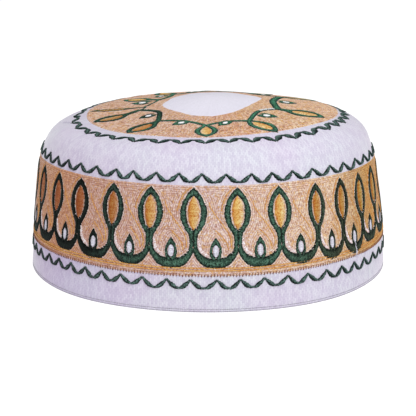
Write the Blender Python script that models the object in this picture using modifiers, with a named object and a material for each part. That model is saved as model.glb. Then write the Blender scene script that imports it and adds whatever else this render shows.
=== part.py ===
"""Kufi: a round embroidered cap of quilted cotton, standing on its rim.

Two sewn pieces: the side band, bent in at the shoulder, and the domed crown. The origin is the
centre of the rim, on the surface that the cap stands on. +Z is up, and the front faces -Y.
"""

import math

import bpy

MM = 0.001

# Driving sizes, in millimetres and degrees
WALL = 2.0
SEAM_GAP = 0.3
HEM_ROUND = 0.6
TURN_STEPS = 84
CROWN_REACH = 79.0

# The cap's outer face from the rim to the top, one section a row
# Columns: what the section is, its radius, its height
SECTIONS = (
    ("rim", 93.0, 0.0),
    ("lower edge of the patterned band", 92.1, 17.0),
    ("upper edge of the patterned band", 86.9, 58.0),
    ("start of the shoulder", 84.7, 64.1),
    ("seam of band and crown", 81.1, 70.2),
    ("end of the shoulder", 75.0, 74.6),
    ("outer edge of the patterned ring", 64.7, 78.1),
    ("middle of the patterned ring", 45.0, 80.5),
    ("edge of the white disc", 26.0, 82.7),
    ("top", 0.0, 85.5),
)
SEAM_ROW = 4
POINTS_PER_SPAN = 3

# How the soft crown is out of true, as waves that run round it
# Columns: what the wave does, how many times it rises in one turn, its height, where it is highest
CROWN_WAVES = (
    ("leans up to the back right", 1, 2.8, 51.0),
    ("bends over the middle", 2, 0.7, -32.0),
)

WHITE_COTTON = (0.80, 0.78, 0.86, 1.0)
CLOTH_ROUGHNESS = 0.85


def remove_everything():
    for obj in list(bpy.data.objects):
        bpy.data.objects.remove(obj, do_unlink=True)


def curve_through(points):
    """A smooth line through the points, level where it reaches the axis."""
    (last_r, last_z), (before_r, before_z) = points[-1], points[-2]
    mirrored = [(-before_r, before_z)]
    first_r, first_z = points[0]
    second_r, second_z = points[1]
    extended = [(2 * first_r - second_r, 2 * first_z - second_z)] + points + mirrored
    line = []
    for i in range(1, len(extended) - 2):
        a, b, c, d = extended[i - 1:i + 3]
        span = math.dist(b, c)
        for k in range(POINTS_PER_SPAN):
            t = k / POINTS_PER_SPAN
            line.append(tuple(span_point(a, b, c, d, span, t, axis) for axis in (0, 1)))
    line.append((last_r, last_z))
    return line


def span_point(a, b, c, d, span, t, axis):
    """One coordinate on the span from b to c, with slopes taken from the neighbours."""
    slope_b = (c[axis] - a[axis]) / (math.dist(a, b) + span) * span
    slope_c = (d[axis] - b[axis]) / (span + math.dist(c, d)) * span
    start = (1 + 2 * t) * (1 - t) ** 2 * b[axis] + t * (1 - t) ** 2 * slope_b
    end = t * t * (3 - 2 * t) * c[axis] + t * t * (t - 1) * slope_c
    return start + end


def moved_inward(line, distance):
    """The same line moved square to itself, towards the inside of the cap."""
    moved = []
    for i, (r, z) in enumerate(line):
        r0, z0 = line[max(i - 1, 0)]
        r1, z1 = line[min(i + 1, len(line) - 1)]
        length = math.hypot(r1 - r0, z1 - z0)
        moved.append((max(r - distance * (z1 - z0) / length, 0.0), z + distance * (r1 - r0) / length))
    return moved


def pulled_back(line, distance):
    """The line with its first point moved along it, to leave the seam's gap."""
    (r0, z0), (r1, z1) = line[0], line[1]
    part = distance / math.dist(line[0], line[1])
    return [(r0 + part * (r1 - r0), z0 + part * (z1 - z0))] + line[1:]


def rounded_hem(outer_radius, inner_radius):
    """The rim from its outer to its inner side: two quarter rounds and a flat between them."""
    turns = (0.0, 30.0, 60.0, 90.0)
    outer = []
    for turn in turns:
        angle = math.radians(turn)
        outer.append((outer_radius - HEM_ROUND * (1 - math.cos(angle)), HEM_ROUND * (1 - math.sin(angle))))
    inner = [(outer_radius + inner_radius - r, z) for r, z in reversed(outer)]
    return outer + inner


def turned_piece(name, profile, closed, material, collection):
    """The profile, which runs down its outer side, turned once round the Z axis."""
    mesh = bpy.data.meshes.new(name)
    points = [(r * MM, 0.0, z * MM) for r, z in profile]
    edges = [(i, i + 1) for i in range(len(points) - 1)]
    if closed:
        edges.append((len(points) - 1, 0))
    mesh.from_pydata(points, edges, [])
    obj = bpy.data.objects.new(name, mesh)
    collection.objects.link(obj)
    screw = obj.modifiers.new("turn", "SCREW")
    screw.axis = "Z"
    screw.steps = TURN_STEPS
    screw.render_steps = TURN_STEPS
    screw.use_merge_vertices = True
    screw.merge_threshold = 0.00001
    mesh.materials.append(material)
    return obj


def made_mesh(obj):
    """The object with its turning applied, so that its points can be moved."""
    bpy.context.view_layer.update()
    evaluated = obj.evaluated_get(bpy.context.evaluated_depsgraph_get())
    obj.data = bpy.data.meshes.new_from_object(evaluated)
    obj.modifiers.clear()


def crown_rise(x, y):
    """How far the crown stands higher or lower than its sections, at a point in plan."""
    reach = min(math.hypot(x, y) / CROWN_REACH, 1.0)
    angle = math.atan2(y, x)
    rise = 0.0
    for _, times, height, towards in CROWN_WAVES:
        most = (times / (times + 2)) ** (times / 2) * 2 / (times + 2)
        shape = reach ** times * (1 - reach * reach) / most
        rise += height * shape * math.cos(times * (angle - math.radians(towards)))
    return rise


def cotton(name):
    material = bpy.data.materials.new(name)
    material.use_nodes = True
    shader = material.node_tree.nodes["Principled BSDF"]
    shader.inputs["Base Color"].default_value = WHITE_COTTON
    shader.inputs["Roughness"].default_value = CLOTH_ROUGHNESS
    shader.inputs["Metallic"].default_value = 0.0
    material.diffuse_color = WHITE_COTTON
    return material


def make_side_band(outline, inside, collection):
    seam = SEAM_ROW * POINTS_PER_SPAN
    outer = outline[:seam + 1]
    inner = inside[:seam + 1]
    hem = rounded_hem(outer[0][0], inner[0][0])
    down_the_outside = list(reversed(outer[1:]))
    profile = down_the_outside + hem + inner[1:]
    band = turned_piece("side_band", profile, True, cotton("side_band_cotton"), collection)
    shade_smooth(band)
    return band


def make_crown(outline, inside, collection):
    seam = SEAM_ROW * POINTS_PER_SPAN
    outer = pulled_back(outline[seam:], SEAM_GAP)
    inner = pulled_back(inside[seam:], SEAM_GAP)
    inner[-1] = (0.0, inner[-1][1])
    profile = list(reversed(outer)) + inner
    crown = turned_piece("crown", profile, False, cotton("crown_cotton"), collection)
    made_mesh(crown)
    for vertex in crown.data.vertices:
        vertex.co.z += crown_rise(vertex.co.x / MM, vertex.co.y / MM) * MM
    shade_smooth(crown)
    return crown


def shade_smooth(obj):
    obj.data.shade_smooth()


def build_kufi():
    remove_everything()
    collection = bpy.data.collections.new("kufi")
    bpy.context.scene.collection.children.link(collection)
    outline = curve_through([(radius, height) for _, radius, height in SECTIONS])
    inside = moved_inward(outline, WALL)
    make_side_band(outline, inside, collection)
    make_crown(outline, inside, collection)


build_kufi()
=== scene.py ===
"""The looks of the kufi: cloth shells, embroidery in satin stitch, light and camera."""
import math

import bpy
import numpy as np
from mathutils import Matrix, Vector
from mathutils.kdtree import KDTree


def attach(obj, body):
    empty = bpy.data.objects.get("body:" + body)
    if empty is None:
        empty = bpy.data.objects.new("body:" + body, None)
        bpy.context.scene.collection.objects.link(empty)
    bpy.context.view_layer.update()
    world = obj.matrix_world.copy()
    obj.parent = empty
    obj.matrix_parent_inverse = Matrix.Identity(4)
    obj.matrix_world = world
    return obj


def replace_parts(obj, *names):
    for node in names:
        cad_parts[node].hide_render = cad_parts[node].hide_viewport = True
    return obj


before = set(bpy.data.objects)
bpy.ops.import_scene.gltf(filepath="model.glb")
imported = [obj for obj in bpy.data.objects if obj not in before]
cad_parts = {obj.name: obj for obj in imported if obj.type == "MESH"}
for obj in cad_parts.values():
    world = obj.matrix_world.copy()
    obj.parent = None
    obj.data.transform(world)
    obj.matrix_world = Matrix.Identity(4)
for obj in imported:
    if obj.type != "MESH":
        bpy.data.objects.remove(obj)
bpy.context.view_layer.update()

MM = 0.001
rng = np.random.default_rng(7)

# Sizes that repeat part.py, in millimetres and degrees
WALL = 2.0
HEM_ROUND = 0.6
CROWN_REACH = 79.0

# The cap's outer face, as in part.py
# Columns: what the section is, its radius, its height
SECTIONS = (
    ("rim", 93, 0),
    ("lower edge of the patterned band", 92.1, 17),
    ("upper edge of the patterned band", 86.9, 58),
    ("start of the shoulder", 84.7, 64.1),
    ("seam of band and crown", 81.1, 70.2),
    ("end of the shoulder", 75, 74.6),
    ("outer edge of the patterned ring", 64.7, 78.1),
    ("middle of the patterned ring", 45, 80.5),
    ("edge of the white disc", 26, 82.7),
    ("top", 0, 85.5),
)
SEAM_ROW = 4
POINTS_PER_SPAN = 40

# Columns: what the wave does, how many times it rises in one turn, its height, where it is highest
CROWN_WAVES = (
    ("leans up to the back right", 1, 2.8, 51),
    ("bends over the middle", 2, 0.7, -32),
)

# Millimetres along the band are measured at this radius
BAND_RADIUS = 90.0

# Heights up the cloth from the rim; for a zigzag its cusps, then its rounded turns
# The lower hem line is a grey thread painted as the shade under the rounded hem; the upper one is
# topstitching
HEM_SHADE_AND_STITCH_LINES = (0.45, 1.55)
LOWER_ZIGZAG = (15.5, 11.4)
GROUND_LOW = 17.4
DOT_ROW = (16.9, 18.2)
BORDER_LINES = (19.7, 20.9)
MOTIF_MIDDLE = 47.8
GROUND_HIGH = 58.6
UPPER_ZIGZAG = (64.0, 60.3)

# The crown's pattern, as radii round its own middle
CROWN_MIDDLE = (2.2, 0.9)
CROWN_ZIGZAG = (72.6, 68.9)
CROWN_ZIGZAG_MIDDLE = (0.0, 1.1)
RING_OUTER = 65.2

# How far in or out the crown's zigzag runs. Columns: azimuth, share of its radii
CROWN_ZIGZAG_REACH = (
    (-180, 0.98), (-105, 0.943), (-78, 0.985), (-58, 1.004), (-24, 1.026), (-8, 1.008), (8, 1.006),
    (24, 1.033), (40, 1.032), (53, 1.016), (75, 1.008), (180, 0.98),
)

# The crown's stitches lie flatter than the band's
CROWN_FLATNESS = 0.6

# Where the soft cloth stands out or sinks in, in millimetres
# Columns: what it is, degrees to the right of the front, reach in degrees, height up the cloth,
#          reach up and down, how far out
SWELLS = (
    ("fuller right shoulder", 88, 38, 76, 8, 1.1),
    ("flatter right side", 88, 38, 52, 15, -0.6),
    ("sunk left shoulder", -100, 34, 82, 11, -0.6),
    ("sunk back of the crown", 180, 80, 103, 15, -0.8),
    ("rim drawn out at the left", -40, 20, 0, 8, 1.3),
    ("rim drawn out at the right", 36, 20, 0, 8, 1.3),
)

# The crease at the left end of the crown's edge: degrees to the right of the front and height up the
# cloth, climb in millimetres a degree, width, depth, and how many degrees it runs each way
CREASE_MIDDLE = (-82.5, 81.2)
CREASE_SLANT = 0.65
CREASE_WIDTH = 0.6
CREASE_DEPTH = 2.0
CREASE_REACH = 5.5

# The soft cloth's slow waves, and how far from the rim and the top they have their full height
# Columns: height, waves in one turn, millimetres up the cloth in a radian of it, start in radians
CLOTH_WAVES = (
    (0.25, 2, math.inf, 0.6),
    (0.2, 5, 23, 0),
    (0.1, 9, -11, 1),
)
WAVES_FROM_RIM = 20.0
WAVES_FROM_TOP = 60.0

# The stems that show from the front, in degrees to the right; the rest are spread evenly
SEEN_STEMS = (-68, -55.2, -43.2, -29.8, -17.2, -4.2, 8.7, 21.7, 34.6, 45.4, 56, 67)
HIDDEN_STEMS = 17

# How much lower the band's motifs lie than in front, in millimetres
# Columns: azimuth, the loops, the crescents
MOTIFS_LOWER = (
    (-180, 0, 0), (-70, 0.6, 0), (-55, 0.7, 0), (-43, 0.4, 0.2), (-28, 0.1, 0.2),
    (-10, 0, 0), (14, 0, 0), (28, 0.8, 0.6), (35, 1, 1.1), (40, 0.9, 1.6), (46, 0.7, 1.8),
    (51, 0.8, 2.2), (56, 1, 1.7), (61, 0.5, 0), (75, 0, 0),
)
# In the motif tables: how far down rows lie as the crescents do, and from one stem to the next
CRESCENT_BELOW = 22.0
NOMINAL_STEP = 19.5

# Where the band's cloth is closed, and the pale stitches over it: degrees to its right, height up the cloth
CLOSING_SEAM = 51.3
CLOSING_SEAM_LINE = ((0, 16.8), (-0.1, 19), (-0.4, 22), (-0.8, 24.5))
CLOSING_SEAM_WIDTH = 0.55

# The upper zigzag's teeth, evenly spread, and the others' steps. Columns: azimuth, degrees to the next tooth
UPPER_TEETH = 50
LOWER_TEETH = (
    (-180, 6.9), (-65, 6.6), (-45, 6), (-28, 6.6), (-15, 7.1), (20, 7.05), (45, 6.2), (70, 6.6),
    (180, 6.9),
)
CROWN_TEETH = (
    (-180, 9.2), (-110, 12), (-65, 12.6), (-54, 10.4), (-46, 7.4), (-35, 10.2), (-20, 8.8), (20, 8.9),
    (30, 8.2), (43, 10.2), (55, 7.8), (75, 8.9), (180, 9.2),
)
# No two teeth are closer together than this many degrees
LEAST_STEP = 3

# The azimuth of one cusp of each zigzag
LOWER_TOOTH = 2.2
UPPER_TOOTH = -1.6
CROWN_TOOTH = -1.3

# How much lower the zigzags lie than they do at the left. Columns: azimuth, millimetres
UPPER_SAG = ((-10, 0), (10, 0.3), (30, 0.6), (45, 0.8), (60, 0.5), (100, 0))
LOWER_SAG = ((22, 0), (31, 0.6), (40, 0.9), (52, 1.2), (70, 1.2), (100, 0))

# Thickness of the zigzags at their turns, and how much thicker their legs are
BAND_LEGS = (0.95, 1.28)
CROWN_LEGS = (1.3, 2.3)

# Points along one leg, how much darker rising legs are painted, as shade where their threads miss the sheen,
# how uneven the teeth's reach and places are
TURN = 7
RISING_SHADE = 0.45
UNEVEN_REACH = 0.04
UNEVEN_CUSPS = 0.25

# The step from one satin thread, ground stitch and border dot to the next
THREAD = 0.5
STITCH = 0.95
DOT_STEP = 1.41

# How far the stitched grounds stand out, how unevenly, and how far edges are sunk into the face
GROUND_LIFT = 0.22
GROUND_UNEVEN = 0.03
SUNK = -0.05

# Points round each ground, and its rows
BAND_GROUND = (850, 60)
RING_GROUND = (540, 54)

# How far green columns reach over their outlines, and the pale ends of their stitches over them
GREEN_WIDER = 0.22
CROWN_GREEN_WIDER = 0.46
PALE_WIDER = 0.26

# How far each thread of a satin column stands out of it and its neighbour in
RIDGE = 0.05

# A narrow column is no higher than this, with this share of its width added
NARROW_HEIGHT = 0.1
NARROW_SHARE = 0.4

# Thickness of the laid threads and of a dot
GOLD_CORD = 0.52
BORDER_CORD = 0.66
HEM_CORD = 0.34
DOT_WIDTH = 0.44

# A laid thread's points, its swelling where it is twisted, and its twists in radians a millimetre
CORD_PITCH = 0.4
CORD_SWELL = 0.3
CORD_TWIST = 6.3

# A line of stitches starts at a random one of this many threads of its material
STARTS = 4000


# The cap's face

def span(b, slope_b, c, slope_c, t):
    """A point on the smooth line from b to c, at the share t of the way."""
    start = (1 + 2 * t) * (1 - t) ** 2 * b + t * (1 - t) ** 2 * slope_b
    return start + t * t * (3 - 2 * t) * c + t * t * (t - 1) * slope_c


def curve_through(points, per_span):
    """A smooth line through the points, level where it reaches the axis."""
    first, second, before, last = points[0], points[1], points[-2], points[-1]
    lead = (2 * first[0] - second[0], 2 * first[1] - second[1])
    extended = [np.array(point) for point in [lead] + points + [(-before[0], before[1])]]
    line = []
    for a, b, c, d in zip(extended, extended[1:], extended[2:], extended[3:]):
        length = np.linalg.norm(c - b)
        slope_b = (c - a) / (np.linalg.norm(b - a) + length) * length
        slope_c = (d - b) / (length + np.linalg.norm(d - c)) * length
        line += [span(b, slope_b, c, slope_c, t) for t in np.arange(per_span) / per_span]
    return np.array(line + [np.array(last)])


def distances(line):
    """How far along the line each of its points lies."""
    return np.concatenate([[0.0], np.cumsum(np.linalg.norm(np.diff(line, axis=0), axis=1))])


def from_table(table, at, column=1):
    """The value at a place, between the rows of a table that starts with the places."""
    columns = np.array(table, float).T
    return np.interp(at, columns[0], columns[column])


def once_round(step):
    """Degrees from the back to the back, with both ends."""
    return np.arange(-180, 180.1, step)


OUTLINE = curve_through([(radius, height) for _, radius, height in SECTIONS], POINTS_PER_SPAN)
RADIUS, HEIGHT = OUTLINE[:, 0], OUTLINE[:, 1]
UP_CLOTH = distances(OUTLINE)
SLOPE = np.gradient(OUTLINE, UP_CLOTH, axis=0)
SLOPE /= np.linalg.norm(SLOPE, axis=1)[:, None]
SEAM = UP_CLOTH[SEAM_ROW * POINTS_PER_SPAN]
TOP = UP_CLOTH[-1]


def crown_rise(x, y):
    """How far the crown stands higher or lower than its sections, at a point in plan."""
    reach = np.minimum(np.hypot(x, y) / CROWN_REACH, 1.0)
    angle = np.arctan2(y, x)
    rise = 0.0
    for _, times, height, towards in CROWN_WAVES:
        most = (times / (times + 2)) ** (times / 2) * 2 / (times + 2)
        shape = reach ** times * (1 - reach * reach) / most
        rise = rise + height * shape * np.cos(times * (angle - math.radians(towards)))
    return rise


def dents(azimuth, up):
    """How far the soft cloth stands out of its sections: slow waves, swells and a short crease."""
    beside = np.degrees(azimuth) - CREASE_MIDDLE[0]
    over = (up - CREASE_MIDDLE[1] - CREASE_SLANT * beside) / CREASE_WIDTH
    crease = CREASE_DEPTH * np.exp(-over ** 2 - (beside / CREASE_REACH) ** 4)
    wave = sum(high * np.sin(times * azimuth + up / rise + start) for high, times, rise, start in CLOTH_WAVES)
    wave = wave * np.clip(up / WAVES_FROM_RIM, 0, 1) * np.clip((TOP - up) / WAVES_FROM_TOP, 0, 1)
    for _, towards, around, height, above, out in SWELLS:
        turn = (np.degrees(azimuth) - towards + 180) % 360 - 180
        wave = wave + out * np.exp(-(turn / around) ** 2 - ((up - height) / above) ** 2)
    return wave - crease


def on_face(azimuth, up, lift):
    """Points on the outer face, in metres; azimuth in radians, 0 in front and growing to the right."""
    azimuth, up, lift = np.broadcast_arrays(np.asarray(azimuth, float), up, lift)
    lift = lift + dents(azimuth, up)
    r = np.interp(up, UP_CLOTH, RADIUS) + lift * np.interp(up, UP_CLOTH, SLOPE[:, 1])
    z = np.interp(up, UP_CLOTH, HEIGHT) - lift * np.interp(up, UP_CLOTH, SLOPE[:, 0])
    x, y = r * np.sin(azimuth), -r * np.cos(azimuth)
    return np.stack([x, y, z + crown_rise(x, y)], axis=-1) * MM


def on_band(place, lift):
    """Points on the side band, from millimetres to the right of the front and up the cloth."""
    return on_face(place[..., 0] / BAND_RADIUS, place[..., 1], lift)


def on_crown(place, lift):
    """Points on the crown, from millimetres in plan."""
    lift = np.where(np.asarray(lift) > 0, lift * CROWN_FLATNESS, lift)
    x, y = place[..., 0], place[..., 1]
    return on_face(np.arctan2(x, -y), np.interp(-np.hypot(x, y), -RADIUS, UP_CLOTH), lift)


def along_band(degrees):
    return np.radians(degrees) * BAND_RADIUS


def band_place(degrees, up):
    return np.stack(np.broadcast_arrays(along_band(degrees), up), axis=-1)


def crown_place(degrees, radius, middle=CROWN_MIDDLE):
    """A point in plan, by angle and radius round the crown pattern's middle, or another one."""
    angle = np.radians(degrees)
    x = middle[0] + radius * np.sin(angle)
    y = middle[1] - radius * np.cos(angle)
    return np.stack(np.broadcast_arrays(x, y), axis=-1)


# Sheets and threads

def new_object(name, data):
    made = bpy.data.objects.new(name, data)
    bpy.context.scene.collection.objects.link(made)
    return made


INSIDE_POINT = np.array((0.0, 0.0, 40.0)) * MM


class Skin:
    """Collects sheets of quads for one piece on a surface, with a thread coordinate at each point."""

    def __init__(self, name, material, surface):
        self.name, self.material, self.surface = name, material, surface
        self.points, self.faces, self.threads, self.count = [], [], [], 0

    def add(self, points, along, across, closed=False):
        """A sheet of points[i][j]; closed joins its last row to its first."""
        n, m = points.shape[:2]
        index = np.arange(n * m).reshape(n, m)
        here = index if closed else index[:-1]
        after = np.roll(index, -1, axis=0) if closed else index[1:]
        quads = np.stack([here[:, :-1], after[:, :-1], after[:, 1:], here[:, 1:]], axis=-1).reshape(-1, 4)
        flat = points.reshape(-1, 3)
        corners = flat[quads]
        facing = np.cross(corners[:, 2] - corners[:, 0], corners[:, 3] - corners[:, 1])
        if np.sum(facing * (corners.mean(axis=1) - INSIDE_POINT)) < 0:
            quads = quads[:, ::-1]
        self.points.append(flat)
        self.faces.append(quads + self.count)
        threads = np.stack(np.broadcast_arrays(along, across, points[..., 0])[:2], axis=-1)
        self.threads.append(threads.reshape(-1, 2))
        self.count += n * m

    def piece(self):
        faces = np.concatenate(self.faces)
        threads = np.concatenate(self.threads)
        mesh = bpy.data.meshes.new(self.name)
        mesh.from_pydata(np.concatenate(self.points).tolist(), [], faces.tolist())
        layer = mesh.uv_layers.new(name="thread")
        layer.uv.foreach_set("vector", threads[faces.ravel()].astype(np.float32).ravel())
        mesh.shade_smooth()
        mesh.materials.append(bpy.data.materials[self.material])
        obj = new_object(self.name, mesh)
        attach(obj, "root")
        return obj


def fine_line(rows, pitch, per_row=16):
    """A smooth line through a table's rows, its points a pitch apart, and how far along each one lies."""
    rows = np.asarray(rows, float)
    slopes = np.gradient(rows, axis=0)
    at = np.linspace(0, len(rows) - 1, per_row * (len(rows) - 1) + 1)
    i = np.minimum(at.astype(int), len(rows) - 2)
    rows = span(rows[i], slopes[i], rows[i + 1], slopes[i + 1], (at - i)[:, None])
    along = distances((rows[:, :2] + rows[:, -2:]) / 2)
    want = np.linspace(0, along[-1], max(int(round(along[-1] / pitch)), 2) + 1)
    return np.stack([np.interp(want, along, column) for column in rows.T], axis=1), want


def ribbon(line, thickness):
    """Edge rows on both sides of a middle line."""
    line = np.asarray(line, float)
    ahead = np.gradient(line, axis=0)
    ahead /= np.linalg.norm(ahead, axis=1)[:, None]
    side = np.stack([-ahead[:, 1], ahead[:, 0]], axis=1)
    side *= np.broadcast_to(thickness, len(line))[:, None] / 2
    return np.concatenate([line + side, line - side], axis=1)


def random_start(pitch, count=None):
    return rng.integers(0, STARTS, count) * pitch


ACROSS = np.array([-1.0, -0.82, -0.45, 0.0, 0.45, 0.82, 1.0])
ARCH = np.sqrt(1 - ACROSS ** 2)


def satin(skin, edges, height=0.55, base=0.14, widen=0.0, ragged=0.1, trace=None, shade=0.0):
    """A raised column of stitches between two edge lines, each thread a ridge across it.

    edges has rows of x, y for one side and x, y for the other, in the surface's millimetres. base is how
    far its sides stand out and height how much more its middle does; widen and ragged are how far it
    reaches over its edges. shade moves the painted highlight of the middle to one side, painting a leg
    darker as shade.
    """
    rows, along = fine_line(edges, THREAD / 2)
    offset = random_start(THREAD)
    a, b = rows[:, :2], rows[:, 2:]
    if trace is not None:
        trace.extend((a, b))
    width = np.maximum(np.linalg.norm(b - a, axis=1), 1e-6)[:, None]
    step = (b - a) / width
    shakes = rng.normal(0, ragged, (2, len(rows) // 2 + 1)).repeat(2, axis=1)[:, :len(rows), None]
    a = a - step * (widen + shakes[0])
    b = b + step * (widen + shakes[1])
    share = (ACROSS[None, :, None] + 1) / 2
    flat = a[:, None] * (1 - share) + b[:, None] * share
    ridges = (np.arange(len(rows)) % 2 * 2 - 1) * RIDGE
    thick = np.minimum(height, NARROW_HEIGHT + width[:, 0] * NARROW_SHARE) + ridges
    lift = base + ARCH[None] * thick[:, None]
    lift[:, (0, -1)] = SUNK
    skin.add(skin.surface(flat, lift), along[:, None] + offset, ACROSS[None] + shade)


HALF_TURN = np.linspace(0, math.pi, 5)


def cord(skin, line, thickness, lift=GROUND_LIFT):
    """A thin twisted thread laid along a line of x, y points."""
    middle, along = fine_line(line, CORD_PITCH)
    thick = thickness * (1 + CORD_SWELL * np.sin(along * CORD_TWIST))
    rows = ribbon(middle, thick)
    share = (1 + np.cos(HALF_TURN))[None, :, None] / 2
    flat = rows[:, None, :2] * share + rows[:, None, 2:] * (1 - share)
    high = lift + np.sin(HALF_TURN)[None] * thick[:, None] / 2
    along = along[:, None] + random_start(THREAD)
    skin.add(skin.surface(flat, high), along, np.cos(HALF_TURN)[None])


def make_zigzag(name, material, surface, place, cusps, ends, legs):
    """A zigzag of satin stitch with sharp cusps and rounded turns between them.

    place(along, out) gives x, y; cusps are where the sharp points stand, in order.
    """
    moves = rng.normal(0, UNEVEN_CUSPS, len(cusps))
    moves[-1] = moves[0]
    cusps = cusps + moves
    cusp_at, round_at = ends
    share = np.linspace(0, 1, 2 * TURN + 1)
    thickness = legs[0] + legs[1] * np.sin(2 * np.pi * share) ** 2
    skin = Skin(name, material, surface)
    for start, end in zip(cusps[:-1], cusps[1:]):
        reach = 1 + rng.normal(0, UNEVEN_REACH)
        out = cusp_at + (round_at - cusp_at) * reach * np.sin(np.pi * share)
        edges = ribbon(place(start + (end - start) * share, out), thickness)
        # Rising legs are painted darker, as shade where their threads miss the sheen
        for leg, shade in ((edges[:TURN + 1], RISING_SHADE), (edges[TURN:], 0.0)):
            satin(skin, leg, height=0.42, ragged=0.08, shade=shade)
    skin.piece()


# The motifs

# The band's motif: u to the right of its stem, v up from the middle of its pointed loop
# Columns: outer edge u, v, inner edge u, v, from the tip down to the stem
LOOP = (
    (0, 9.9, 0, 6.2), (1.9, 8.1, 1.1, 5.4), (3.8, 5.4, 2.35, 3.7), (5.3, 1.9, 3.1, 1.1),
    (5.9, -1.2, 3.2, -1.5), (5.6, -4.2, 2.9, -4.4), (4.7, -7, 2.1, -7), (3.2, -9.6, 1.1, -8.6),
    (2, -12, 0, -9.4), (1.65, -14.6, 0, -13.4), (1.65, -17, 0, -17),
)
LOOP_OPEN_ROWS = 9

# Columns: inner edge u, v, outer edge u, v, from the stem to the middle of the crescent
CRESCENT = (
    (1.5, -14.6, -0.3, -18.4), (1.7, -16.6, 0.3, -20.4), (2.6, -19.1, 1.8, -23.1),
    (4.6, -21, 4, -25.6), (7, -22, 6.7, -26.8), (9.75, -22.3, 9.75, -27.2),
)

# Columns: outer edge u, v, inner edge u, v, from the tip down to the crescent
DROP = (
    (0, -12.6, 0, -16.2), (1.1, -14.4, 0.85, -16.7), (2, -16.2, 1.4, -17.6), (2.45, -18.4, 1.55, -18.9),
    (2.4, -20.6, 1.4, -20.3), (1.9, -22.4, 0.9, -21.3), (1.1, -23.4, 0, -21.8),
)

# The pale stitches inside the left bend of each crescent, with edges as above
BEND = (
    (2.1, -12.8, 1.7, -12.8), (3, -16, 1.8, -16.6), (4.2, -18.3, 2.9, -19.2), (5.7, -20, 4.8, -21),
    (7, -21.3, 6.6, -22),
)

# Gold threads of the ground beside a stem: two down to the next stem, and one round the loop's shoulder
GOLD_THREADS = (
    ((6.9, 3.4), (7.6, 0.8), (10, -3), (13, -7.2), (15.6, -11.2), (16.6, -14.8), (16.3, -17.6)),
    ((9.6, -9.4), (12.6, -12.6), (14.6, -15.6), (15.2, -18.4)),
    ((-0.6, 10.1), (-2.7, 9), (-4.9, 6.3), (-6.5, 2.4), (-7.2, -0.8)),
)

# Painted glints: single pale stitches on the green, standing in for highlights, along each crescent's right
# bend, and under each loop
# Columns: u, v
GLINTS = (
    (-2.3, -18.6), (-3, -19.7), (-4.2, -20.7), (-5.6, -21.5), (-1.7, -7.7), (-0.7, -9.2), (0.5, -9.5),
    (1.5, -8.5),
)
# Half a glint's length, its width, how far it tilts, and the share of them that show
GLINT_REACH = 0.35
GLINT_WIDTH = 0.3
GLINT_TILT = 0.25
GLINT_SHARE = 0.7

# The crown's loops, each with a vine to the next one and a drop, but the last without a drop
# Columns: foot's angle, radius, tip's angle, radius, width against the band's, how low the stem runs,
#          how far the vine bends in, its thickness, drop's foot angle, radius, tip's angle, radius
CROWN_LOOPS = (
    (-81, 38, -69.2, 64, 1, -20.5, 8.5, 2.7, -58.4, 33.8, -59.2, 43.2),
    (-41.3, 41.2, -39.1, 65, 0.94, -14, 5.6, 2.2, -18.6, 37, -26.8, 44.2),
    (-4.2, 44.5, -2.5, 64.6, 1, -12, 4, 2.2, 12, 40.6, 3.6, 45.8),
    (23.2, 45.5, 27.2, 66.6, 0.9, -12, 7.7, 2.7, 36.6, 38.2, 42.8, 47.4),
    (60.5, 38.4, 62.8, 62.6, 1.3, -17, 8.9, 4, 88.4, 34.2, 90.7, 44.2),
    (119.5, 43, 116.5, 64.4, 1, -12, 8.6, 2.7, 135, 35.4, 134, 44.4),
    (151, 41, 147.5, 63.6, 1, -12, 7.4, 2.7, 167, 35.2, 164, 44),
    (183, 40, 178, 63.4, 1, -12, 6.6, 2.7, 199, 34.6, 195, 43.4),
    (215, 37, 209, 62, 0.9, -14, 4.6, 2.7, 231, 32.6, 226, 42),
    (248.1, 30.6, 238.8, 56.5, 0.8, -19, 1.6, 1.1, 256, 33.6, 254, 44.6),
    (272, 35.6, 267.6, 64, 0.36, -19, 1.6, 0.9),
)
# The crown's drops have more green round a smaller white. Columns: inner edge u, v
CROWN_DROP_INSIDE = (
    (0, -16.9), (0.9, -17.3), (1.3, -17.9), (1.45, -18.8), (1.3, -19.7), (0.9, -20.4), (0, -20.8),
)
CROWN_DROP = [row[:2] + inside for row, inside in zip(DROP, CROWN_DROP_INSIDE)]
CROWN_DROP_WIDTH = 1.4
# Half the width of a crown loop's stem at its foot
CROWN_STEM = 1.3

# Points along a vine, and how soon it bends in: 1 is a sine's hump, less is squarer
VINE_POINTS = 25
VINE_BEND = 0.8

# Pale stitches on one vine: the loop it leads from, the shares of its length where they start and end,
# how many, and how far they reach to each side
FRAYED_VINE = (3, 0.58, 0.9, 7)
FRAYED_REACH = (0.8, 1.4)

# The white disc's edge round the crown pattern's middle
# Columns: angle, radius
DISC_EDGE = (
    (-180, 25.6), (-160, 27.2), (-128, 24.4), (-107, 24.2), (-88, 26.2), (-57, 25.3), (-38, 25.8),
    (-20, 28.3), (0, 30.8), (20, 28.5), (43, 24.3), (63, 22.9), (84, 24.2), (103, 26.9), (125, 24.6),
    (150, 26), (180, 25.6),
)


def halves(rows):
    """A motif's right half, and its left one."""
    return rows, [(-a, b, -c, d) for a, b, c, d in rows]


def inside_of(rows, margin, least=0.05):
    """The space within a motif's inner edge, as left and right edge rows."""
    return [(-max(c - margin, least), d, max(c - margin, least), d) for _, _, c, d in rows]


def by_stem(rows, azimuth, step):
    """Motif rows put beside a stem on the band, in the band's millimetres."""
    rows = np.array(rows, float)
    across, up = rows[:, 0::2], rows[:, 1::2]
    degrees = azimuth + across * step / NOMINAL_STEP
    around = (degrees + 180) % 360 - 180
    below = np.clip(-up / CRESCENT_BELOW, 0, 1)
    loops, crescents = from_table(MOTIFS_LOWER, around), from_table(MOTIFS_LOWER, around, 2)
    lower = loops * (1 - below) + crescents * below
    rows[:, 0::2], rows[:, 1::2] = along_band(degrees), up + MOTIF_MIDDLE - lower
    return rows


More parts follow.
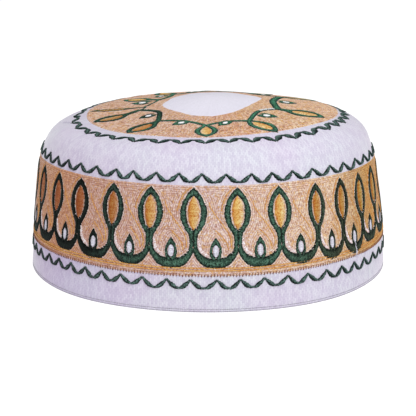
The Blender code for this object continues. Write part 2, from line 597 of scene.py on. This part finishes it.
def between(rows, foot, tip, low, high, width):
    """Motif rows laid on the crown, with v from low at the foot to high at the tip."""
    rows = np.array(rows, float)
    ahead = (tip - foot) / (high - low)
    side = np.array((-ahead[1], ahead[0])) * width
    edges = [foot + ahead * (rows[:, i + 1:i + 2] - low) - side * rows[:, i:i + 1] for i in (0, 2)]
    return np.concatenate(edges, axis=1)


def stems():
    """The stems' azimuths once round, with the first one again at the end."""
    first, last = SEEN_STEMS[0], SEEN_STEMS[-1]
    gap = (first + 360 - last) / (HIDDEN_STEMS + 1)
    return list(SEEN_STEMS) + [last + gap * (i + 1) for i in range(HIDDEN_STEMS + 1)]


def green_column(greens, edges, rows, trace, widen=GREEN_WIDER):
    """Green satin, with the pale ends of its stitches showing on both sides."""
    satin(greens, rows, widen=widen, ragged=0.13, trace=trace)
    satin(edges, rows, height=0.05, base=0.24, widen=widen + PALE_WIDER, ragged=0.18)


def gold_fill(skin, rows):
    satin(skin, rows, height=0.36, base=0.3, ragged=0.16)


def glint(u, v):
    """One short pale stitch, a little out of level, painted as a glint."""
    tilt = rng.normal(0, GLINT_TILT)
    ends = ((u - GLINT_REACH, v - tilt), (u + GLINT_REACH, v + tilt))
    return [(x, y, x, y - GLINT_WIDTH) for x, y in ends]


def skins_on(surface, **pieces):
    """An empty skin for each piece; pieces are names with materials."""
    return [Skin(name, material, surface) for name, material in pieces.items()]


def make_band_motifs(trace):
    skins = loops, crescents, drops, edges, fills, whites, bends, threads = skins_on(
        on_band, band_loops="green_satin", band_crescents="green_satin", band_drops="green_satin",
        band_pale_edges="cream_thread", band_gold_fills="gold_satin", band_white_drops="white_thread",
        band_pale_stitches="pale_thread_and_glints", band_gold_threads="gold_line"
    )
    places = stems()
    for here, after in zip(places[:-1], places[1:]):
        gap = after - here
        middle = (here + after) / 2
        for half in halves(LOOP):
            green_column(loops, edges, by_stem(half, here, gap), trace)
        gold_fill(fills, by_stem(inside_of(LOOP[:LOOP_OPEN_ROWS], margin=0.5), here, gap))
        for half, stem in zip(halves(CRESCENT), (here, after)):
            green_column(crescents, edges, by_stem(half, stem, gap), trace)
        satin(bends, by_stem(BEND, here, gap), height=0.16, base=0.3, widen=0.1, ragged=0.2)
        for half in halves(DROP):
            green_column(drops, edges, by_stem(half, middle, gap), trace)
        satin(whites, by_stem(inside_of(DROP, margin=0.1), middle, gap), height=0.3, base=0.34)
        # Painted glints: pale stitches where highlights fall on the green
        for u, v in GLINTS:
            if rng.random() < GLINT_SHARE:
                satin(bends, by_stem(glint(u, v), here, gap), height=0.22, base=0.42, ragged=0.05)
        for thread in GOLD_THREADS:
            cord(threads, by_stem(thread, here, gap), GOLD_CORD)
    seam = [(along_band(CLOSING_SEAM + lean), up) for lean, up in CLOSING_SEAM_LINE]
    satin(whites, ribbon(seam, CLOSING_SEAM_WIDTH), height=0.3, base=0.5, ragged=0.2)
    for skin in skins:
        skin.piece()


def add_frayed_stitches(skin, line):
    """Short pale marks across a vine."""
    _, start, end, count = FRAYED_VINE
    for at in np.linspace(start, end, count):
        middle = np.array([np.interp(at, np.linspace(0, 1, len(line)), column) for column in line.T])
        outward = (middle - CROWN_MIDDLE) / np.linalg.norm(middle - CROWN_MIDDLE)
        reach = outward * rng.uniform(*FRAYED_REACH)
        mark = ribbon([middle - reach, middle + reach], thickness=0.3)
        satin(skin, mark, height=0.2, base=0.95, ragged=0.04)


def make_crown_motifs(trace):
    skins = loops, vines, edges, fills, whites = skins_on(
        on_crown, crown_loops="crown_green_satin", crown_vines="crown_green_satin",
        crown_pale_edges="cream_thread", crown_gold_fills="crown_gold_satin",
        crown_white_drops="bright_white_thread"
    )
    share = np.linspace(0, 1, VINE_POINTS)
    first = CROWN_LOOPS[0]
    following = CROWN_LOOPS[1:] + ((first[0] + 360,) + first[1:],)
    for number, (row, after) in enumerate(zip(CROWN_LOOPS, following)):
        width, low, bend, thickness = row[4:8]
        ends = (crown_place(*row[0:2]), crown_place(*row[2:4]), low, LOOP[0][1], width)
        outline = [line for line in LOOP if line[1] > low + 1] + [(CROWN_STEM, low, 0.0, low)]
        wider = CROWN_GREEN_WIDER * min(width, 1.0)
        for half in halves(outline):
            green_column(loops, edges, between(half, *ends), trace, wider)
        gold_fill(fills, between(inside_of(LOOP[1:LOOP_OPEN_ROWS - 1], margin=0.3), *ends))
        radius = row[1] + (after[1] - row[1]) * share - bend * np.sin(np.pi * share) ** VINE_BEND
        line = crown_place(row[0] + (after[0] - row[0]) * share, radius)
        green_column(vines, edges, ribbon(line, thickness), trace)
        if number == FRAYED_VINE[0]:
            add_frayed_stitches(whites, line)
        if len(row) < 12:
            continue
        foot, tip = crown_place(*row[8:10]), crown_place(*row[10:12])
        ends = (foot, tip, CROWN_DROP[-1][1], CROWN_DROP[0][1], CROWN_DROP_WIDTH)
        for half in halves(CROWN_DROP):
            green_column(vines, edges, between(half, *ends), trace, CROWN_GREEN_WIDER)
        satin(whites, between(inside_of(CROWN_DROP, margin=0.2), *ends), height=0.4, base=0.4)
    for skin in skins:
        skin.piece()


def teeth(start, steps):
    """Azimuths of a zigzag's cusps once round, by a table of the steps at each azimuth."""
    right, left = [start], []
    while right[-1] < start + 180:
        right.append(right[-1] + from_table(steps, right[-1]))
    before = start - from_table(steps, start)
    while before > right[-1] - 360 + LEAST_STEP:
        left.append(before)
        before = before - from_table(steps, before)
    return np.array([right[-1] - 360] + left[::-1] + right)


def make_zigzags():
    def round_band(sag):
        return lambda degrees, up: band_place(degrees, up - from_table(sag, degrees))

    def round_crown(degrees, radius):
        return crown_place(degrees, radius * from_table(CROWN_ZIGZAG_REACH, degrees), CROWN_ZIGZAG_MIDDLE)

    look, place = "band_zigzag_satin", round_band(LOWER_SAG)
    cusps = teeth(LOWER_TOOTH, LOWER_TEETH)
    make_zigzag("lower_zigzag", look, on_band, place, cusps, LOWER_ZIGZAG, BAND_LEGS)
    place = round_band(UPPER_SAG)
    cusps = UPPER_TOOTH + np.arange(UPPER_TEETH + 1) * 360 / UPPER_TEETH
    make_zigzag("upper_zigzag", look, on_band, place, cusps, UPPER_ZIGZAG, BAND_LEGS)
    look, cusps = "crown_zigzag_satin", teeth(CROWN_TOOTH, CROWN_TEETH)
    make_zigzag("crown_zigzag", look, on_crown, round_crown, cusps, CROWN_ZIGZAG, CROWN_LEGS)


# Cloth

# How far the two cloths lap over each other at the crown's seam, and tuck under there
SEAM_LAP = np.array([0.0, 0.3])
TUCK = 0.12

# Steps round each cloth, its rows at the hem, and from row to row outside, on the flat crown and inside
BAND_STEPS = 440
CROWN_STEPS = 330
HEM_ROWS = [0.0, 0.08, 0.3, 0.6]
BAND_ROW = 1.0
CROWN_ROW = 0.4
FLAT_ROW = 1.2
INSIDE_ROW = 3.0

# From here up the crown is flat; below, its rows are close together for the crease
FLAT_FROM = 90.0

# How much fuller the hem is, at what height, and how far up and down
HEM_SWELL = 0.2
HEM_SWELL_AT = 3.4
HEM_SWELL_REACH = 1.6


def azimuths(steps, ends=0):
    """A column of degrees once round from the back; with ends=1 the last is where the first is."""
    return (np.arange(steps + ends) * 360 / steps - 180)[:, None]


def make_shell(name, surface, steps, outside, inside):
    """A wall of cloth turned once round; each side has its rows' heights and how far they stand out."""
    azimuth = np.radians(azimuths(steps, ends=1))
    up, lift = np.concatenate([outside, inside], axis=1)[:, None]
    skin = Skin(name, "white_cotton", surface)
    skin.add(on_face(azimuth, up, lift), azimuth * BAND_RADIUS, up)
    return skin.piece()


def hem_round(up):
    """How far the rounded hem draws in from each side of the wall."""
    into = HEM_ROUND - np.clip(up, 0, HEM_ROUND)
    return HEM_ROUND - np.sqrt(HEM_ROUND ** 2 - into ** 2)


def tucked(past_seam):
    return TUCK * np.clip(past_seam, 0, 1) / SEAM_LAP[-1]


def make_band_cloth():
    """The side band: up the outer face to the seam, then down the inside, with a rounded hem."""
    up = np.concatenate([HEM_ROWS, np.arange(1.0, SEAM - 1.0, BAND_ROW), SEAM + SEAM_LAP])
    swell = HEM_SWELL * np.exp(-((up - HEM_SWELL_AT) / HEM_SWELL_REACH) ** 2)
    outside = (up, swell - hem_round(up) - tucked(up - SEAM))
    up = np.concatenate([[SEAM - 0.1], np.arange(SEAM - 2.0, INSIDE_ROW, -INSIDE_ROW), HEM_ROWS[::-1]])
    return make_shell("side_band_cloth", on_band, BAND_STEPS, outside, (up, hem_round(up) - WALL))


def make_crown_cloth():
    """The crown: from the seam to the top, then back on the inside."""
    near, far = np.arange(SEAM + 0.6, FLAT_FROM, CROWN_ROW), np.arange(FLAT_FROM, TOP - 0.6, FLAT_ROW)
    up = np.concatenate([SEAM - SEAM_LAP[::-1], near, far, [TOP - 0.02]])
    outside = (up, -tucked(SEAM - up))
    up = np.concatenate([[TOP - 0.02], np.arange(TOP - INSIDE_ROW, SEAM + 1.0, -INSIDE_ROW), [SEAM + 0.1]])
    return make_shell("crown_cloth", on_crown, CROWN_STEPS, outside, (up, np.full(len(up), -WALL)))


def beside_outlines(lines, place):
    """How far along the nearest outline each point lies, and how far away from it."""
    starts = random_start(STITCH, len(lines))
    along = np.concatenate([start + distances(line) for start, line in zip(starts, lines)])
    known = np.concatenate(lines).tolist()
    tree = KDTree(len(known))
    for i, (x, y) in enumerate(known):
        tree.insert((x, y, 0.0), i)
    tree.balance()
    nearest, away = zip(*(tree.find((x, y, 0.0))[1:] for x, y in place.reshape(-1, 2).tolist()))
    shape = place.shape[:2]
    return along[list(nearest)].reshape(shape), np.array(away).reshape(shape)


def make_ground(name, material, surface, place, outlines):
    """A sheet of stitches in rows along the nearest outline, its edges sunk into the cloth."""
    along, away = beside_outlines(outlines, place)
    lift = GROUND_LIFT + rng.normal(0, GROUND_UNEVEN, away.shape)
    lift[:, (0, -1)] = SUNK
    skin = Skin(name, material, surface)
    skin.add(surface(place, lift), along, away, closed=True)
    skin.piece()


def make_band_ground(trace):
    steps, rows = BAND_GROUND
    inner = np.linspace(GROUND_LOW, GROUND_HIGH, rows)
    up = np.concatenate([[GROUND_LOW - 0.1], inner, [GROUND_HIGH + 0.1]])[None]
    outlines = [line - shift for line in trace for shift in ((0.0, 0.0), (along_band(360), 0.0))]
    outlines += [band_place(once_round(0.4), edge) for edge in (GROUND_LOW, GROUND_HIGH)]
    make_ground("band_ground", "ground_stitches", on_band, band_place(azimuths(steps), up), outlines)


def make_ring_ground(trace):
    steps, rows = RING_GROUND
    degrees = azimuths(steps)
    share = np.concatenate([[-0.002], np.linspace(0, 1, rows), [1.01]])[None]
    place = crown_place(degrees, RING_OUTER + (from_table(DISC_EDGE, degrees) - RING_OUTER) * share)
    outer = crown_place(once_round(0.5), RING_OUTER)
    inner = crown_place(once_round(1.0), from_table(DISC_EDGE, once_round(1.0)))
    make_ground("ring_ground", "ring_stitches", on_crown, place, trace + [outer, inner])


# The disc: its rays, the rows along them, and how far every other ray stands out
DISC_RAYS = 240
DISC_ROWS = 22
DISC_RIDGE = 0.012


def make_disc():
    """The white middle: satin rays that run out from the crown pattern's middle."""
    degrees = azimuths(DISC_RAYS * 2, ends=1)
    ridges = (1 - np.arange(len(degrees)) % 2 * 2)[:, None] * DISC_RIDGE
    share = np.concatenate([np.linspace(0.001, 0.98, DISC_ROWS), [1.0]])[None]
    lift = GROUND_LIFT + ridges * share
    lift[:, -1] = SUNK
    skin = Skin("white_disc", "disc_thread", on_crown)
    points = on_crown(crown_place(degrees, from_table(DISC_EDGE, degrees) * share), lift)
    skin.add(points, np.radians(degrees) * DISC_RAYS * THREAD / math.pi, share * 0.5)
    skin.piece()


def make_borders():
    around = once_round(3.0)
    skins = lines, hem, dots = skins_on(
        on_band, border_lines="gold_line", hem_stitches="hem_shade_and_thread", border_dots="dot_thread"
    )
    for up in BORDER_LINES:
        wave = 0.08 * np.sin(np.radians(around) * 11 + up)
        cord(lines, band_place(around, up + wave), BORDER_CORD)
    # A grey line painted as the shade under the hem, then a line of topstitching
    for up in HEM_SHADE_AND_STITCH_LINES:
        cord(hem, band_place(around, up), HEM_CORD, lift=-0.02)
    low, high = DOT_ROW
    for x in np.arange(0, along_band(360) - DOT_STEP / 2, DOT_STEP):
        tall = rng.normal(0, 0.12)
        tick = ribbon([(x, low + tall / 2), (x + 0.1, high + tall)], DOT_WIDTH)
        satin(dots, tick, height=0.2, base=0.2)
    for skin in skins:
        skin.piece()


# Materials. Colours are given as they read on screen, from 0 to 255

WHITE = (255, 255, 255)


def grey(level):
    return (level, level, level)


def linear(colour):
    """A colour on screen as the shader takes it."""
    shares = [level / 255 for level in colour]
    return tuple(((c + 0.055) / 1.055) ** 2.4 if c > 0.04 else c / 12.92 for c in shares) + (1.0,)


class Shader:
    """Short words for building one material's nodes. inputs go by the sockets' names or numbers."""

    def __init__(self, name, inputs):
        self.material = bpy.data.materials.new(name)
        self.material.use_nodes = True
        self.tree = self.material.node_tree
        self.surface = self.tree.nodes["Principled BSDF"]
        self.fill(self.surface, inputs)

    def fill(self, node, inputs):
        for key, value in dict(inputs).items():
            if isinstance(value, bpy.types.NodeSocket):
                self.tree.links.new(value, node.inputs[key])
            else:
                node.inputs[key].default_value = linear(value) if isinstance(value, tuple) else value

    def node(self, kind, inputs=(), **settings):
        node = self.tree.nodes.new(kind)
        for key, value in settings.items():
            setattr(node, key, value)
        self.fill(node, inputs)
        return node

    def maths(self, operation, *values):
        return self.node("ShaderNodeMath", enumerate(values), operation=operation).outputs[0]

    def plus(self, a, b):
        return self.maths("ADD", a, b)

    def times(self, a, b):
        return self.maths("MULTIPLY", a, b)

    def over(self, a, b):
        return self.maths("DIVIDE", a, b)

    def rounded(self, rows):
        """0 at each whole number and 1 halfway between them."""
        return self.maths("SINE", self.times(self.maths("FRACT", rows), math.pi))

    def split(self, vector):
        return self.node("ShaderNodeSeparateXYZ", {0: vector}).outputs

    def join(self, x, y):
        return self.node("ShaderNodeCombineXYZ", {0: x, 1: y}).outputs[0]

    def thread(self):
        """The thread coordinate: along and across."""
        return self.split(self.node("ShaderNodeUVMap", uv_map="thread").outputs["UV"])[:2]

    def place(self):
        return self.node("ShaderNodeTexCoord").outputs["Object"]

    def round_the_cap(self, stops):
        """A colour for each direction, from stops of degrees to the right of the front and colours."""
        x, y, _ = self.split(self.place())
        turn = self.maths("ARCTAN2", x, self.times(y, -1.0))
        share = self.plus(self.over(turn, 2 * math.pi), 0.5)
        return self.ramp(share, *((0.5 + degrees / 360, colour) for degrees, colour in stops))

    def noise(self, scale, detail=2.0):
        inputs = {"Vector": self.place(), "Scale": scale, "Detail": detail}
        return self.node("ShaderNodeTexNoise", inputs).outputs["Fac"]

    def rays(self, stretch):
        """The place, shortened towards the crown pattern's middle, for marks that run to it."""
        x, y, _ = self.split(self.place())
        x = self.plus(x, -CROWN_MIDDLE[0] * MM)
        y = self.plus(y, -CROWN_MIDDLE[1] * MM)
        radius = self.maths("SQRT", self.plus(self.times(x, x), self.times(y, y)))
        return self.join(self.times(self.maths("ARCTAN2", y, x), RING_OUTER * MM), self.over(radius, stretch))

    def seeds(self, size, place):
        """Small random patches: a random value for each, and how near a point is to its edge."""
        inputs = {"Vector": place, "Scale": 1 / (size * MM)}
        patches = self.node("ShaderNodeTexVoronoi", inputs, feature="F1")
        edges = self.node("ShaderNodeTexVoronoi", inputs, feature="DISTANCE_TO_EDGE")
        return self.split(patches.outputs["Color"])[0], edges.outputs["Distance"]

    def chance(self, x, y):
        """A random value for each whole-number place."""
        inputs = {"Vector": self.join(x, y)}
        return self.node("ShaderNodeTexWhiteNoise", inputs, noise_dimensions="2D").outputs["Value"]

    def ramp(self, fac, *stops):
        node = self.node("ShaderNodeValToRGB", {"Fac": fac})
        ramp = node.color_ramp
        while len(ramp.elements) < len(stops):
            ramp.elements.new(0.5)
        for element, (position, colour) in zip(ramp.elements, stops):
            element.position = position
            element.color = linear(colour)
        return node.outputs["Color"]

    def mix(self, fac, a, b, blend="MIX"):
        node = self.node("ShaderNodeMix", data_type="RGBA", blend_type=blend)
        colours = [i for i, socket in enumerate(node.inputs) if socket.type == "RGBA"]
        self.fill(node, {"Factor": fac, colours[0]: a, colours[1]: b})
        return next(socket for socket in node.outputs if socket.type == "RGBA")

    def tint(self, colour, *tints):
        for by in tints:
            colour = self.mix(1.0, colour, by, "MULTIPLY")
        return colour

    def finish(self, colour, height, distance):
        bump = self.node("ShaderNodeBump", {"Distance": distance * MM, "Height": height})
        self.fill(self.surface, {"Base Color": colour, "Normal": bump.outputs["Normal"]})


# How fine the noises are, in marks a metre
CLOUDS = 40.0
WOBBLE = 380.0
GAPS = 700.0
GRAIN = 900.0
FLECKS = 1500.0

# The cotton's own stitches: their length, from one row to the next, and how far the rows wander
QUILT_LENGTH = 2.2
QUILT_ROW = 0.95
QUILT_WANDER = 0.9

# The cotton's painted shade on its shaded left is full low down and fades out towards the top, between these
# shares of this height
LOW_HEIGHT = 80.0
PAINTED_SHADE_BY_HEIGHT = ((0.3, grey(255)), (0.85, grey(90)))


def quilting(s):
    """Staggered rows of short stitches up the cloth: each one's random value, and its rounded height."""
    along, up = s.thread()
    wobble = s.times(s.plus(s.noise(WOBBLE), -0.5), QUILT_WANDER)
    rows = s.over(s.plus(along, wobble), QUILT_ROW)
    row = s.maths("FLOOR", rows)
    cells = s.plus(s.plus(s.over(up, QUILT_LENGTH), s.times(row, 0.5)), wobble)
    value = s.chance(s.maths("FLOOR", cells), row)
    return value, s.maths("POWER", s.times(s.rounded(rows), s.rounded(cells)), 0.6)


def white_cloth(name):
    s = Shader(name, {"Roughness": 0.85, "Sheen Weight": 0.55, "Sheen Roughness": 0.35})
    value, height = quilting(s)
    tone = s.ramp(value, (0.0, (208, 202, 218)), (0.5, (217, 213, 225)), (1.0, (223, 221, 230)))
    # Painted shade in the dimples between the cotton's stitches
    painted_gap_shade = s.ramp(height, (0.0, (238, 236, 242)), (0.6, WHITE))
    clouds = s.ramp(s.noise(CLOUDS, 3.0), (0.35, (249, 244, 252)), (0.65, (249, 252, 253)))
    # Painted shade: a violet tint on the cotton's shaded left, full on the lower band and fading out up the
    # crown
    low = s.ramp(s.over(s.split(s.place())[2], LOW_HEIGHT * MM), *PAINTED_SHADE_BY_HEIGHT)
    sides = s.mix(s.split(low)[0], WHITE, s.round_the_cap(COTTON_SIDES))
    s.finish(s.tint(tone, painted_gap_shade, clouds, sides), height, 0.08)


# Columns: share of the stitches, colour
GROUND_TONES = (
    (0, (208, 166, 150)), (0.2, (230, 196, 184)), (0.45, (240, 216, 216)), (0.62, (250, 238, 238)),
    (0.8, (242, 214, 190)), (1, (232, 186, 132)),
)
RING_TONES = (
    (0, (176, 126, 102)), (0.2, (228, 182, 166)), (0.45, (242, 210, 204)), (0.62, (255, 246, 242)),
    (0.8, (240, 208, 164)), (1, (230, 172, 100)),
)


def ground_stitches(name, rays, tones, sides):
    """Short pink, peach and gold stitches in rows along the outlines, or in rays to the pattern's middle."""
    s = Shader(name, {"Roughness": 0.6, "Specular IOR Level": 0.2})
    _, away = s.thread()
    value, border = s.seeds(STITCH * 0.75, s.rays(1.7) if rays else s.place())
    over = s.rounded(s.plus(s.over(away, STITCH), s.times(s.noise(WOBBLE), 0.3)))
    # Painted shade in the gaps between stitches, strongest at each stitch's edge
    gap = s.ramp(s.noise(GAPS), (0.35, (196, 164, 156)), (0.6, (232, 216, 208)))
    outside = s.ramp(s.over(border, 0.16), (0.0, grey(240)), (1.0, grey(0)))
    painted_gap_shade = s.mix(s.split(outside)[0], WHITE, gap)
    # Painted shade in the grooves between rows of stitches
    painted_groove_shade = s.ramp(over, (0.0, (232, 220, 212) if rays else (196, 166, 154)), (0.6, WHITE))
    # Painted shade and sheen, by direction round the cap
    colour = s.tint(s.ramp(value, *tones), painted_gap_shade, painted_groove_shade, s.round_the_cap(sides))
    s.finish(colour, s.plus(over, s.times(border, 2.0)), 0.14)


def satin_thread(name, middle, edge, right=None, sides=None, dark=grey(150), groove_shade=grey(200), bump=0.08):
    """Thread laid in ridges, with a painted highlight on a column's rounded middle and painted shade at its
    edges.

    right is the colour of the right edge, where it differs from the left one.
    """
    s = Shader(name, {"Roughness": 0.5, "Specular IOR Level": 0.1})
    along, across = s.thread()
    threads = s.over(along, THREAD)
    over = s.rounded(threads)
    grain = s.noise(GRAIN)
    # Painted light across each column: a lighter middle as highlight, darker edges as shade
    if right is None:
        painted_light_across = s.plus(s.maths("ABSOLUTE", across), s.times(grain, 0.8))
        tone = s.ramp(s.plus(painted_light_across, -0.4), (0.12, middle), (0.8, edge))
    else:
        painted_light_across = s.plus(s.times(across, 0.5), s.times(grain, 0.5))
        tone = s.ramp(s.plus(painted_light_across, 0.25), (0.1, edge), (0.45, middle), (0.9, right))
    shade = s.ramp(s.chance(s.maths("FLOOR", threads), 0.5), (0.0, dark), (0.7, WHITE))
    flecks = s.ramp(s.noise(FLECKS, 1.0), (0.36, dark), (0.56, WHITE))
    # Painted shade in the grooves between threads
    painted_groove_shade = s.ramp(over, (0.0, groove_shade), (0.6, WHITE))
    colour = s.tint(s.mix(0.6, tone, s.tint(tone, shade)), s.tint(flecks, painted_groove_shade))
    # Painted shade and sheen, by direction round the cap
    if sides:
        colour = s.tint(colour, s.round_the_cap(sides))
    s.finish(colour, over, bump)


# Painted shade and sheen round the cap: colours are multiplied darker, warmer or violet towards the sides,
# most of all on the shaded left, and left whole at the front, where the threads' sheen is painted in
# Columns: degrees to the right of the front, what the colour is multiplied by
GREEN_SIDES = (
    (-100, (190, 184, 190)), (-62, (96, 92, 94)), (-38, (90, 86, 88)), (-28, (190, 184, 192)),
    (-12, WHITE), (20, WHITE), (42, (214, 170, 158)), (100, (190, 184, 190)),
)
GOLD_SIDES = (
    (-100, (226, 204, 186)), (-62, (188, 134, 120)), (-42, (188, 134, 118)), (-28, (205, 170, 156)),
    (-15, (242, 224, 210)), (9, WHITE), (24, WHITE), (38, (216, 190, 164)), (58, (216, 214, 188)),
    (100, (226, 204, 186)),
)
GROUND_SIDES = (
    (-100, (240, 226, 204)), (-54, (231, 197, 165)), (-36, (228, 210, 200)), (0, (241, 241, 240)),
    (40, (252, 252, 230)), (53, (226, 212, 162)), (63, (232, 204, 124)), (100, (240, 226, 204)),
)
RING_SIDES = (
    (-20, (241, 236, 226)), (12, (243, 230, 213)), (45, (248, 246, 223)), (90, (254, 252, 234)),
    (170, (241, 236, 226)),
)
ZIGZAG_SIDES = ((-100, WHITE), (-55, (190, 170, 180)), (-22, WHITE))
CROWN_SIDES = ((-120, WHITE), (-60, (150, 144, 144)), (-15, WHITE))
CROWN_GOLD_SIDES = ((-120, WHITE), (-68, (206, 198, 208)), (-36, (218, 196, 190)), (-8, WHITE))
COTTON_SIDES = ((-110, WHITE), (-50, (246, 236, 252)), (-12, WHITE))
ORANGE = (226, 178, 130)


def make_materials():
    white_cloth("white_cotton")
    ground_stitches("ground_stitches", False, GROUND_TONES, GROUND_SIDES)
    ground_stitches("ring_stitches", True, RING_TONES, RING_SIDES)

    green, deep = (82, 156, 122), (8, 36, 28)
    satin_thread("green_satin", (88, 128, 108), (12, 30, 24), sides=GREEN_SIDES, dark=grey(112))
    satin_thread("crown_green_satin", green, deep, sides=CROWN_SIDES, dark=grey(96))
    faded = ((102, 132, 124), (28, 48, 46))
    satin_thread("band_zigzag_satin", *faded, sides=ZIGZAG_SIDES, dark=grey(112))
    satin_thread("crown_zigzag_satin", *faded, dark=grey(112))

    gold = ((233, 204, 124), (223, 165, 88), (240, 224, 182))
    satin_thread("gold_satin", *gold, GOLD_SIDES, ORANGE)
    gold = ((244, 214, 138), (232, 186, 110), (246, 228, 178))
    satin_thread("crown_gold_satin", *gold, CROWN_GOLD_SIDES, ORANGE)
    satin_thread("gold_line", (238, 200, 128), (224, 176, 108), dark=ORANGE)

    satin_thread("cream_thread", (228, 204, 192), (242, 230, 224), dark=grey(170))
    satin_thread("pale_thread_and_glints", (250, 244, 248), (244, 234, 236), dark=(222, 196, 190))
    satin_thread("dot_thread", (170, 112, 92), (140, 84, 66), dark=grey(190))
    # Grey hem thread, which also paints the shade under the hem
    satin_thread("hem_shade_and_thread", (186, 180, 196), (166, 160, 176), dark=grey(220))
    satin_thread("white_thread", (240, 238, 250), (216, 212, 228), dark=grey(225), groove_shade=grey(220))
    satin_thread("bright_white_thread", WHITE, (246, 246, 252), dark=grey(244), groove_shade=grey(240))
    smooth = grey(246)
    satin_thread("disc_thread", (230, 227, 239), (227, 224, 238), dark=smooth, groove_shade=smooth, bump=0.01)


# The object, the stage and the camera

def make_kufi():
    make_materials()
    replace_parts(make_band_cloth(), "side_band")
    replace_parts(make_crown_cloth(), "crown")
    band_trace, crown_trace = [], []
    make_band_motifs(band_trace)
    make_crown_motifs(crown_trace)
    make_zigzags()
    make_borders()
    make_band_ground(band_trace)
    make_ring_ground(crown_trace)
    make_disc()


WORLD_STRENGTH = 0.32
FLOOR_GLOW = 0.96
FLOOR_COLOUR = (0.15, 0.15, 0.15, 1.0)
FLOOR_REACH = 8.0

# Columns: name, place in metres, size, power
LIGHTS = (
    ("front", (0.36, -1, 1.10), 0.9, 12.7),
    ("overhead", (0, -0.05, 1.54), 0.9, 8.6),
)


def make_stage():
    scene = bpy.context.scene
    scene.view_settings.view_transform = "Standard"
    world = bpy.data.worlds.new("studio")
    world.use_nodes = True
    background = world.node_tree.nodes["Background"]
    background.inputs["Color"].default_value = linear(WHITE)
    background.inputs["Strength"].default_value = WORLD_STRENGTH
    scene.world = world

    glow = Shader("floor_white", {"Roughness": 0.9, "Emission Color": WHITE, "Emission Strength": FLOOR_GLOW})
    glow.surface.inputs["Base Color"].default_value = FLOOR_COLOUR
    mesh = bpy.data.meshes.new("floor")
    low, high = -FLOOR_REACH, FLOOR_REACH
    mesh.from_pydata([(low, low, 0), (high, low, 0), (high, high, 0), (low, high, 0)], [], [(0, 1, 2, 3)])
    mesh.materials.append(glow.material)
    floor = new_object("floor", mesh)

    for name, place, size, power in LIGHTS:
        data = bpy.data.lights.new(name, "AREA")
        data.size = size
        data.energy = power
        light = new_object(name, data)
        light.location = place
        light.rotation_euler = (-Vector(place)).to_track_quat("-Z", "Y").to_euler()


# Where the photograph was taken from, in metres and radians, and its lens as a share of its width
LENS_TO_WIDTH = 2.7365
SENSOR_WIDTH = 36.0
CAMERA_BACK = 0.5878
CAMERA_UP = 0.1724
CAMERA_TILT = 0.2435


def make_camera():
    data = bpy.data.cameras.new("camera")
    data.sensor_width = SENSOR_WIDTH
    data.lens = SENSOR_WIDTH * LENS_TO_WIDTH
    data.clip_start = 0.01
    camera = new_object("camera", data)
    camera.location = (0.0, -CAMERA_BACK, CAMERA_UP)
    camera.rotation_euler = (math.pi / 2 - CAMERA_TILT, 0.0, 0.0)
    bpy.context.scene.camera = camera


make_kufi()
make_stage()
make_camera()
